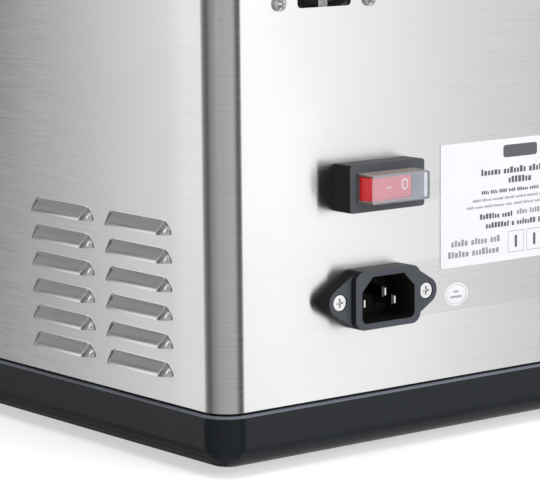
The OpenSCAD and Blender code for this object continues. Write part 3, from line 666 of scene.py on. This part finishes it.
def shell_cutters():
    """Blocks where the wrap's front and rear are cut open."""
    bm = bmesh.new()

    def hole(cx, cz, w, h, r, y):
        block(bm, rounded(cx, cz, w, h, r), y - CUTTER_REACH, y + CUTTER_REACH)

    fan = centre("fan_frame")
    for z, w in vent_slots():
        hole(fan.x, fan.z + z, w, VENT_SLOT, VENT_ROUND, REAR_Y)
    for i in (-1, 1):
        for j in (-1, 1):
            hole(fan.x + i * FAN_SCREW, fan.z + j * FAN_SCREW, FAN_SCREW_HOLE, FAN_SCREW_HOLE,
                 FAN_SCREW_HOLE, REAR_Y)
    for node, size, y in (("inlet_housing", INLET_HOLE, REAR_Y),
                          ("switch_housing", SWITCH_HOLE, REAR_Y),
                          ("control_panel", PANEL_HOLE, FRONT_Y)):
        hole(centre(node).x, centre(node).z, *size, y)
    return solid_of(bm, "cutters")


def make_shell():
    """The wrap as one pressed sheet: round bends, hooded louvres cut along their lips, openings."""
    bm = bmesh.new()
    around = outline_points()
    below, above = [], []
    for h, has_lips in height_stations():
        low_line, high_line = [], []
        for place, normal, d in around:
            out = raised(d, h)
            base = Vector((place.x, place.y, STEEL_Z + h))
            high = bm.verts.new(base + normal * out)
            cut = has_lips and out > LEAST_CUT
            low_line.append(bm.verts.new(base) if cut else high)
            high_line.append(high)
        below.append(low_line)
        above.append(high_line)
    for lower, upper in zip(above, below[1:]):
        band(bm, lower, upper)
    mesh = baked(solid_of(bm, "steel_wrap"), "SOLIDIFY",
                 thickness=SHEET, offset=-1, use_even_offset=True)
    mesh = cut_away(mesh, shell_cutters())
    finish_piece("steel_wrap", mesh, "case", "brushed_steel", ["body_shell"], sharp=WRAP_SHARP)


# ------------------------------------------------------------------ base tray

GROOVE = 0.8 * MM                            # shadow line between the steel and the tray
GROOVE_IN = 0.9 * MM                         # how far the groove runs in behind the steel's face
GROOVE_PAST = 10 * MM                        # how far its cutter goes past the steel outside
GROOVE_UP = 2 * MM                           # and above the steel's edge
TRAY_ROUND = 0.9 * MM
TRAY_LOW_SHARE = 0.4                         # the tray's lower edges are rounded less
LEDGE_TOLERANCE = 0.01 * MM
RIM_DEPTH = 1 * MM                           # from the ledge down to at least the middle of a rim face
UPRIGHT = 0.2                                # a face whose normal's z is below this is upright


def make_tray():
    """The base moulding, with a shadow groove under the steel and a broad round below it. Its rounds
    get a lighter copy of the plastic, a painted highlight.
    """
    ledge = STEEL_Z - GROOVE
    mid_y = (REAR_Y + FRONT_Y) / 2
    wide, deep = RIGHT_X - LEFT_X, REAR_Y - FRONT_Y
    outside, inside = (rounded(0, mid_y, wide + grow, deep + grow, BEND_R)
                       for grow in (2 * GROOVE_PAST, -2 * GROOVE_IN))
    bm = bmesh.new()
    low = [level_line(bm, ring, ledge) for ring in (outside, inside)]
    high = [level_line(bm, ring, STEEL_Z + GROOVE_UP) for ring in (outside, inside)]
    for a, b in ((low[0], high[0]), (high[0], high[1]), (high[1], low[1]), (low[1], low[0])):
        band(bm, a, b)
    mesh = cut_away(cleaned("base_tray"), solid_of(bm, "groove"))

    def is_rim(face):
        return abs(face.normal.z) < UPRIGHT and face.calc_center_median().z < ledge - RIM_DEPTH

    def share_of(edge):
        if any(v.co.z < ledge - LEDGE_TOLERANCE for v in edge.verts):
            return TRAY_LOW_SHARE
        return 1 if any(is_rim(face) for face in edge.link_faces) else 0

    # the bevel faces get the lighter copy, a painted highlight on the rounds
    paints = [FINISH["black_abs"], FINISH["abs_painted_highlight"]]
    mesh = weighted(mesh, TRAY_ROUND, share_of, paints, segments=3, material=1)
    finish_piece("base_tray_finished", mesh, "case", "black_abs", ["base_tray"], [], flats=True)


# ------------------------------------------------------------------ label and sticker

PRINT_UP = 0.02 * MM                         # print lies this far above what it is printed on
PLATE_SHARP = 40                             # degrees
LABEL_SEED = 7

# On the label, lengths are in mm from its lower corner on the side of the right wall.
# Rows of marks that stand for print: start, end, middle height, mark height, ink
BOLD, PALE = 0, 1
LABEL_ROWS = (
    (19.8, 58.6, 33.4, 2.4, BOLD), (33.4, 45, 29.8, 2.4, BOLD), (20, 58.4, 26, 1.3, BOLD),
    (15.5, 63, 23.3, 1, PALE), (12.6, 65.8, 20.9, 1, PALE), (19.2, 35.6, 17.2, 2, BOLD),
    (37.6, 58, 17.6, 2, PALE), (22.1, 35.6, 13.7, 2, BOLD), (37.7, 60, 13.8, 2, BOLD),
    (5.2, 28.2, 8.6, 2.4, PALE), (3.6, 27.5, 4.6, 2.4, PALE),
)
LABEL_CORNER = 0.8 * MM
BADGE = (39.2, 40.4, 17, 4.6, 1.2)           # middle along and up, width, height, corner radius
BOXES, BOX_UP = (37.2, 46.5, 55.8), 6.7      # middles of the framed boxes
# Width, height and corner radius of a box's frame, outside and inside, and of the mark in it
BOX_OUTSIDE, BOX_INSIDE, BOX_MARK = (8, 8, 0.3), (7.6, 7.6, 0.2), (1.2, 4.6, 0.5)
MARK_CORNER, MARK_CORNER_POINTS = 0.1, 2
WORD_LENGTHS = (4, 8)                        # fewest and most marks in a word
# Sizes of the marks and gaps, as shares of a row's height
MARK_WIDTHS, MARK_HEIGHTS = (0.42, 0.5, 0.58), (0.72, 0.78, 1, 1)
MARK_GAP, WORD_GAP = 0.2, 0.55


def print_marks(draw, start, end, height, tall):
    """(middle along, middle up, width, height) of each mark in a row, in word-long groups."""
    u = start
    left_in_word = draw.randint(*WORD_LENGTHS)
    while u < end:
        wide = tall * draw.choice(MARK_WIDTHS)
        high = tall * draw.choice(MARK_HEIGHTS)
        yield u + wide / 2, height - tall / 2 + high / 2, wide, high
        left_in_word -= 1
        u += wide + tall * MARK_GAP
        if left_in_word == 0:
            u += tall * WORD_GAP
            left_in_word = draw.randint(*WORD_LENGTHS)


def make_label():
    """White rating plate with a plain badge, rows of unreadable marks and framed boxes."""
    lo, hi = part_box("rating_label")
    middle = (lo + hi) / 2
    draw = random.Random(LABEL_SEED)

    def on_label(u, v, w, h, r, per_corner=6):
        return rounded(hi.x - u * MM, lo.z + v * MM, w * MM, h * MM, r * MM, per_corner)

    bm = bmesh.new()
    outline = rounded(middle.x, middle.z, hi.x - lo.x, hi.z - lo.z, LABEL_CORNER)
    block(bm, outline, hi.y, lo.y)
    finish_piece("label_plate", solid_of(bm, "label_plate"), "case", "label_white",
                 ["rating_label"], sharp=PLATE_SHARP)

    bm = bmesh.new()
    y = hi.y + PRINT_UP
    for start, end, height, tall, ink in LABEL_ROWS:
        for mark in print_marks(draw, start, end, height, tall):
            flat_shape(bm, on_label(*mark, MARK_CORNER, MARK_CORNER_POINTS), y, ink)
    flat_shape(bm, on_label(*BADGE), y, BOLD)
    for u in BOXES:
        flat_ring(bm, on_label(u, BOX_UP, *BOX_OUTSIDE), on_label(u, BOX_UP, *BOX_INSIDE), y, PALE)
        flat_shape(bm, on_label(u, BOX_UP, *BOX_MARK), y, BOLD)
    print_piece("label_print", bm, "case", "label_white", [INK, PALE_INK])


STICKER_SIDES = 64
STICKER_EDGE, STICKER_TOP = 0.06 * MM, 0.985  # height of its edge's bevel, and the top's share
STICKER_RING = (0.86, 0.82)                  # outside and inside, as shares of the sticker
STICKER_BARS = ((1, 2.6), (-0.9, 5.6))       # middle height and width, in mm
STICKER_BAR_H, STICKER_BAR_ROUND = 0.8 * MM, 0.2 * MM


def make_sticker():
    """Small oval sticker with a printed ring and two plain bars."""
    lo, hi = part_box("round_sticker")
    mid = (lo + hi) / 2
    w, h = hi.x - lo.x, hi.z - lo.z

    def oval(scale):
        return [(mid.x + w / 2 * scale * math.cos(a), mid.z + h / 2 * scale * math.sin(a))
                for a in steps(0, 2 * math.pi, STICKER_SIDES)[:-1]]

    bm = bmesh.new()
    back = upright(bm, oval(1), lo.y)
    edge = upright(bm, oval(1), hi.y - STICKER_EDGE)
    front = upright(bm, oval(STICKER_TOP), hi.y)
    band(bm, back, edge)
    band(bm, edge, front)
    bm.faces.new(front)
    bm.faces.new(list(reversed(back)))
    finish_piece("sticker_plate", solid_of(bm, "sticker_plate"), "case", "label_white",
                 ["round_sticker"], sharp=PLATE_SHARP)

    bm = bmesh.new()
    y = hi.y + PRINT_UP
    outside, inside = STICKER_RING
    flat_ring(bm, oval(outside), oval(inside), y)
    for up, wide in STICKER_BARS:
        bar = rounded(mid.x, mid.z + up * MM, wide * MM, STICKER_BAR_H, STICKER_BAR_ROUND)
        flat_shape(bm, bar, y)
    print_piece("sticker_print", bm, "case", "label_white", [GREY_INK])


# ------------------------------------------------------------------ switch and inlet details

ROCKER_JOINT = next(j for j in frame["joints"] if j["child"] == "rocker")
ROCKER_PIVOT = Vector(ROCKER_JOINT["pos_m"])
ROCKER_TILT = math.radians(12)               # at rest, from the middle of its travel
CROWN_LOW, CROWN_HIGH = 5.8 * MM, 6.8 * MM   # the pressing faces, above the pivot, middle and ends
ROCKER_R = 11.4 * MM                         # from the pivot to its ends
MARK_UP, MARK_LINE = 0.03 * MM, 0.55 * MM    # height above the rocker and width of line
BAR_AT, BAR_W, BAR_ROUND = 3.2 * MM, 2.6 * MM, 0.2 * MM
RING_AT, RING_UP = -5.8 * MM, 0.4 * MM       # from the pivot along the rocker and up
RING_RX, RING_RZ, RING_SIDES = 1.65 * MM, 2 * MM, 40


def make_rocker_marks():
    """The usual bar and ring moulded on the rocker's two pressing faces."""
    slope = math.atan2(CROWN_HIGH - CROWN_LOW, ROCKER_R)

    def place(bm, u, side, up=0):
        """Lays shapes drawn about the origin on the face at u from the pivot."""
        height = CROWN_LOW + abs(u) * math.tan(slope) + MARK_UP
        onto = (Matrix.Translation(ROCKER_PIVOT) @ Matrix.Rotation(ROCKER_TILT, 4, "Z")
                @ Matrix.Translation((u, height, up)) @ Matrix.Rotation(side * slope, 4, "Z"))
        bmesh.ops.transform(bm, matrix=onto, verts=bm.verts)

    bar = bmesh.new()
    flat_shape(bar, rounded(0, 0, BAR_W, MARK_LINE, BAR_ROUND), 0)
    place(bar, BAR_AT, 1)
    ring = bmesh.new()
    outer = [(RING_RX * math.cos(a), RING_RZ * math.sin(a))
             for a in steps(0, 2 * math.pi, RING_SIDES)[:-1]]
    inner = [(x * (1 - MARK_LINE / RING_RX), z * (1 - MARK_LINE / RING_RZ)) for x, z in outer]
    flat_ring(ring, outer, inner, 0)
    place(ring, RING_AT, -1, RING_UP)
    for name, bm in (("rocker_bar", bar), ("rocker_ring", ring)):
        print_piece(name, bm, "rocker", "rocker_red", [MARK_WHITE])


COVER_ROUND = 0.3 * MM
COVER_TAPER_X, COVER_TAPER_Z = 0.035, 0.06   # how much narrower and lower its front is
COVER_FRONT = 0.3                            # least y of the normals of its front
COVER_LEVEL = 0.9                            # least z of the normals of its top and underside
FRONT_SKIN = 0.4 * MM                        # a fitting's front faces lie no further in than this


def make_cover():
    """The clear splash cover, tapered a little to its pressing face, which has a light frost. Its top
    and underside get a duller, brownish copy of the clear plastic, painted shade.
    """
    cover = softened("switch_cover", COVER_ROUND)
    front, side = added(cover, "cover_face"), added(cover, "cover_painted_shade")
    lo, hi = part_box("switch_cover")
    mid_z = (lo.z + hi.z) / 2
    for v in cover.data.vertices:
        share = (v.co.y - lo.y) / (hi.y - lo.y)
        v.co.x = lo.x + (v.co.x - lo.x) * (1 - COVER_TAPER_X * share)
        v.co.z = mid_z + (v.co.z - mid_z) * (1 - COVER_TAPER_Z * share)
    for face in cover.data.polygons:
        if face.normal.y > COVER_FRONT and face.center.y > hi.y - FRONT_SKIN:
            face.material_index = front
        # top and underside: painted shade
        elif abs(face.normal.z) > COVER_LEVEL:
            face.material_index = side


PIN_BEVEL = 0.72 * MM
PIN_EDGE_SHARE = 0.15                        # of the bevel, on the edges that aren't at the tips
PIN_TIP, PIN_END = 0.9, 0.98                 # least y of the normals at a tip and of its flat end
PIN_SHARP = 20                               # degrees


def make_pins():
    """The three blades of the inlet, with the usual bevelled ends. Only their flat ends keep the
    bright nickel; the rest is a dark copy of it, a painted reflection of the dark hollow.
    """
    def share_of(edge):
        return 1 if any(f.normal.y > PIN_TIP for f in edge.link_faces) else PIN_EDGE_SHARE

    mesh = weighted(cleaned("inlet_pins"), PIN_BEVEL, share_of, segments=1)
    finish_piece("inlet_pins_finished", mesh, "case", SLOT["inlet_pins"], ["inlet_pins"],
                 [FINISH["pin_painted_shade"], FINISH["nickel"]], sharp=PIN_SHARP)
    for face in mesh.polygons:
        if face.normal.y > PIN_END:
            face.material_index = 1


FACES_REAR = 0.8                             # least y of the normal of a face that isn't a side


def paint_shade_on_sides(piece):
    """Paints shade on a fitting: its faces that don't face straight out of the rear wall get a darker
    copy of its black.
    """
    side = added(piece, "fitting_painted_shade")
    for face in piece.data.polygons:
        if face.normal.y < FACES_REAR:
            face.material_index = side


SWITCH_ROUND, INLET_ROUND = 0.18 * MM, 0.3 * MM
SOCKET_X, SOCKET_Z = 12.3 * MM, 8.4 * MM     # half the width and height that hold the hollow
SOCKET_DEPTH = 15 * MM                       # behind the rear wall


def make_inlet():
    """The inlet's moulding; its hollow gets a smoother material with painted shade, much darker than
    the outside.
    """
    inlet = softened("inlet_housing", INLET_ROUND)
    paint_shade_on_sides(inlet)
    # the hollow's darker material is painted shade
    inside = added(inlet, "inlet_painted_shade")
    lo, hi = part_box("inlet_housing")
    mid = (lo + hi) / 2
    for face in inlet.data.polygons:
        at = face.center - mid
        within = abs(at.x) < SOCKET_X and abs(at.z) < SOCKET_Z
        if within and REAR_Y - SOCKET_DEPTH < face.center.y < hi.y - FRONT_SKIN:
            face.material_index = inside


# ------------------------------------------------------------------ stage and light

FLOOR_R, FLOOR_SIDES = 3, 128                # metres, and straight sides
FLOOR_GLOW = 0.56


def make_stage():
    """A pale round floor, small enough that the studio shows beyond it in the steel."""
    bm = bmesh.new()
    bmesh.ops.create_circle(bm, cap_ends=True, segments=FLOOR_SIDES, radius=FLOOR_R)
    mesh = mesh_of(bm, "floor")
    s = Shader("floor_paint", Roughness=0.9, Specular_IOR_Level=0.1,
               Emission_Color=(1, 1, 1), Emission_Strength=FLOOR_GLOW)
    s.colour(s.noise(s.place(), 3, detail=2), (0.58, 0.58, 0.58), (0.6, 0.6, 0.6))
    mesh.materials.append(s.material)
    floor = new_object("floor", mesh)
    floor.visible_glossy = False


# Brightness of the studio at each azimuth, in degrees from +X towards +Y
STUDIO = (
    (-180, 0.9), (-150, 0.85), (-134, 0.78), (-122, 0.2), (-110, 0.14), (-100, 0.42),
    (-91, 0.36), (-83, 0.16), (-76, 0.5), (-70, 1), (-66, 0.74), (-62.5, 0.3), (-60, 0.15),
    (-58, 0.26), (-56, 0.88), (-54, 1.7), (-52, 2), (-50, 1.7), (-46, 1), (-37, 0.44),
    (-27, 0.26), (-18, 0.22), (-8, 0.4), (20, 0.66), (60, 0.82), (82, 0.85), (98, 0.5),
    (108, 0.22), (117, 0.24), (123, 2), (126, 2.4), (131, 1.7), (135, 1.22), (142, 0.95),
    (160, 1.1), (180, 0.9),
)
# Share of that brightness at each height of a direction, as the sine of its elevation
SKY = (
    (-1, 0.85), (-0.65, 0.8), (-0.45, 0.5), (-0.3, 0.74), (-0.15, 0.9), (0, 1), (0.3, 0.75),
    (0.6, 0.5), (0.85, 0.2), (0.95, 0), (1, 0),
)
# Brightness that is added evenly all round, by the same measure of height
TOP = ((-1, 0), (0.4, 0), (0.7, 0.22), (0.9, 0.55), (1, 0.8))
BRIGHTEST = 3                                # the curves run from 0 to this
ROOM_SHARE = 0.45                            # how much of that light falls on matt surfaces
SEEN_WHITE = 1.05                            # the studio as the camera sees it directly


def curve_of(w, source, table, span, table_span):
    """A smooth curve through the table's points.

    source runs from -span to span, and the table from -table_span to table_span.
    """
    share = w.map_range(source, From_Min=-span, From_Max=span)
    curve = w.node("ShaderNodeFloatCurve")
    points = curve.mapping.curves[0].points
    while len(points) < len(table):
        points.new(0.5, 0.5)
    for point, (where, value) in zip(points, table):
        point.location = ((where + table_span) / (2 * table_span), value / BRIGHTEST)
        point.handle_type = "AUTO_CLAMPED"
    curve.mapping.update()
    w.link(share, curve.inputs["Value"])
    return w.maths("MULTIPLY", curve.outputs["Value"], BRIGHTEST)


def make_world():
    """Soft studio: bright and dark upright panels all round, white where it is seen directly."""
    world = bpy.data.worlds.new("studio")
    bpy.context.scene.world = world
    world.use_nodes = True
    w = Tree(world.node_tree)
    w.tree.nodes.clear()
    split = w.node("ShaderNodeSeparateXYZ")
    w.link(w.node("ShaderNodeTexCoord").outputs["Generated"], split.inputs["Vector"])
    x, y, z = split.outputs
    around = curve_of(w, w.maths("ARCTAN2", y, x), STUDIO, math.pi, 180)
    height, top = curve_of(w, z, SKY, 1, 1), curve_of(w, z, TOP, 1, 1)
    level = w.maths("MULTIPLY_ADD", around, height, top)
    rays = w.node("ShaderNodeLightPath")
    share = w.map_range(rays.outputs["Is Diffuse Ray"], To_Min=1, To_Max=ROOM_SHARE)
    room = w.node("ShaderNodeBackground")
    w.link(w.maths("MULTIPLY", level, share), room.inputs["Strength"])
    white = w.node("ShaderNodeBackground", Strength=SEEN_WHITE)
    either = w.node("ShaderNodeMixShader")
    w.link(rays.outputs["Is Camera Ray"], either.inputs["Fac"])
    w.link(room.outputs["Background"], either.inputs[1])
    w.link(white.outputs["Background"], either.inputs[2])
    w.link(either.outputs["Shader"], w.node("ShaderNodeOutputWorld").inputs["Surface"])


# Name, place, what it points at, width and depth, watts, whether it shows in reflections
LAMPS = (
    ("overhead", (0.1, 0.3, 1.6), (0, 0, 0.1), (1.6, 1.6), 24, False),
    ("rear_fill", (0.1, 1.5, 0.5), (0.1, 0, 0.15), (1.2, 1), 15, False),
    ("spark", (1.08, 0.57, 0.66), (0.175, 0.05, 0.06), (0.24, 0.24), 0.5, True),
)


def make_lamps():
    for name, place, aim, size, watts, reflected in LAMPS:
        data = bpy.data.lights.new(name, "AREA")
        data.shape = "RECTANGLE"
        data.size, data.size_y = size
        data.energy = watts
        lamp = new_object(name, data)
        lamp.location = place
        lamp.rotation_mode = "QUATERNION"
        lamp.rotation_quaternion = (Vector(aim) - Vector(place)).to_track_quat("-Z", "Y")
        lamp.visible_camera = False
        lamp.visible_glossy = reflected


# ------------------------------------------------------------------ the whole

# CAD nodes that only need their edges softened, and by how much, in mm
SOFT_EDGES = (
    ("top_frame", 0.4), ("rubber_feet", 0.5), ("display_lens", 0.25), ("button_power", 0.4),
    ("button_mode", 0.4), ("button_timer", 0.4), ("button_minus", 0.4), ("button_plus", 0.4),
    ("lid_pan", 0.2), ("lid_handle", 0.4), ("control_panel", 0.5), ("fan_screws", 0.15),
    ("inlet_screws", 0.1), ("switch_rocker", 0.3),
)

make_camera()
make_shell()
make_tray()
make_label()
make_sticker()
make_rocker_marks()
make_stage()
make_world()
make_lamps()
bpy.context.scene.view_settings.view_transform = "Standard"

for node, width in SOFT_EDGES:
    softened(node, width * MM)
paint_shade_on_sides(softened("switch_housing", SWITCH_ROUND))
make_cover()
make_pins()
make_inlet()
